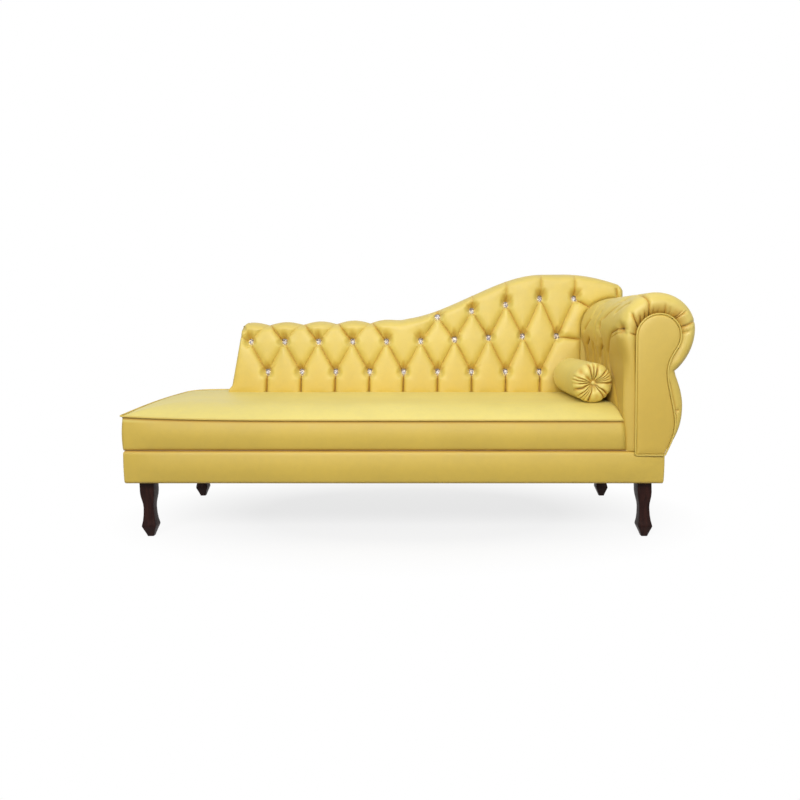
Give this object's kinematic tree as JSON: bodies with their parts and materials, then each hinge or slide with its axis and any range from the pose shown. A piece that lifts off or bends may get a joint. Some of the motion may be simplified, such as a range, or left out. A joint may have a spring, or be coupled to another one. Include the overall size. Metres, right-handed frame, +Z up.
{
  "type": "recamier",
  "caption": "Upholstered chaise longue on four carved legs: boxed seat, deep-buttoned back with an S-shaped top, one rolled arm with a keyhole facing, and a loose bolster.",
  "frame": {"origin": "centre of the footprint's box, on the floor", "axes": "+X towards the arm, +Y towards the back's outside, +Z up"},
  "size_m": [1.85, 0.7126, 0.905],
  "materials": {
    "fabric": "yellow woven upholstery fabric with a soft sheen",
    "leg_wood": "dark stained and lacquered",
    "crystal": "faceted crystal in a bright metal cup",
    "frame_timber": "sawn pine",
    "plywood": "plain plywood",
    "dust_cloth": "thin black cloth"
  },
  "bodies": {
    "sofa": {"base_cover": "fabric", "leg_front_left": "leg_wood", "leg_front_right": "leg_wood", "leg_rear_left": "leg_wood", "leg_rear_right": "leg_wood", "seat_pad": "fabric", "seat_welt": "fabric", "back_pad": "fabric", "arm_pad": "fabric", "arm_facing": "fabric", "arm_facing_welt": "fabric", "front_rail": "frame_timber", "rear_rail": "frame_timber", "left_end_rail": "frame_timber", "right_end_rail": "frame_timber", "cross_rail_1": "frame_timber", "cross_rail_2": "frame_timber", "corner_block_1": "frame_timber", "corner_block_2": "frame_timber", "corner_block_3": "frame_timber", "corner_block_4": "frame_timber", "seat_deck": "plywood", "dust_cover": "dust_cloth", "back_panel": "plywood", "back_post_1": "frame_timber", "back_post_2": "frame_timber", "back_post_3": "frame_timber", "back_outside_cover": "fabric", "arm_front_board": "plywood", "arm_rear_board": "plywood", "arm_top_stretcher": "frame_timber", "arm_bottom_stretcher": "frame_timber", "crystal_button_01": "crystal", "crystal_button_02": "crystal", "crystal_button_03": "crystal", "crystal_button_04": "crystal", "crystal_button_05": "crystal", "crystal_button_06": "crystal", "crystal_button_07": "crystal", "crystal_button_08": "crystal", "crystal_button_09": "crystal", "crystal_button_10": "crystal", "crystal_button_11": "crystal", "crystal_button_12": "crystal", "crystal_button_13": "crystal", "crystal_button_14": "crystal", "crystal_button_15": "crystal", "crystal_button_16": "crystal", "crystal_button_17": "crystal", "crystal_button_18": "crystal", "crystal_button_19": "crystal", "crystal_button_20": "crystal", "crystal_button_21": "crystal", "crystal_button_22": "crystal", "crystal_button_23": "crystal", "crystal_button_24": "crystal"},
    "bolster": {"bolster": "fabric", "bolster_button_front": "fabric", "bolster_button_rear": "fabric"}
  },
  "joints": [
    {"name": "bolster_lift", "type": "slide", "parent": "sofa", "child": "bolster", "axis": [-0.5, 0, 0.866], "range_m": [0, 0.3]}
  ]
}
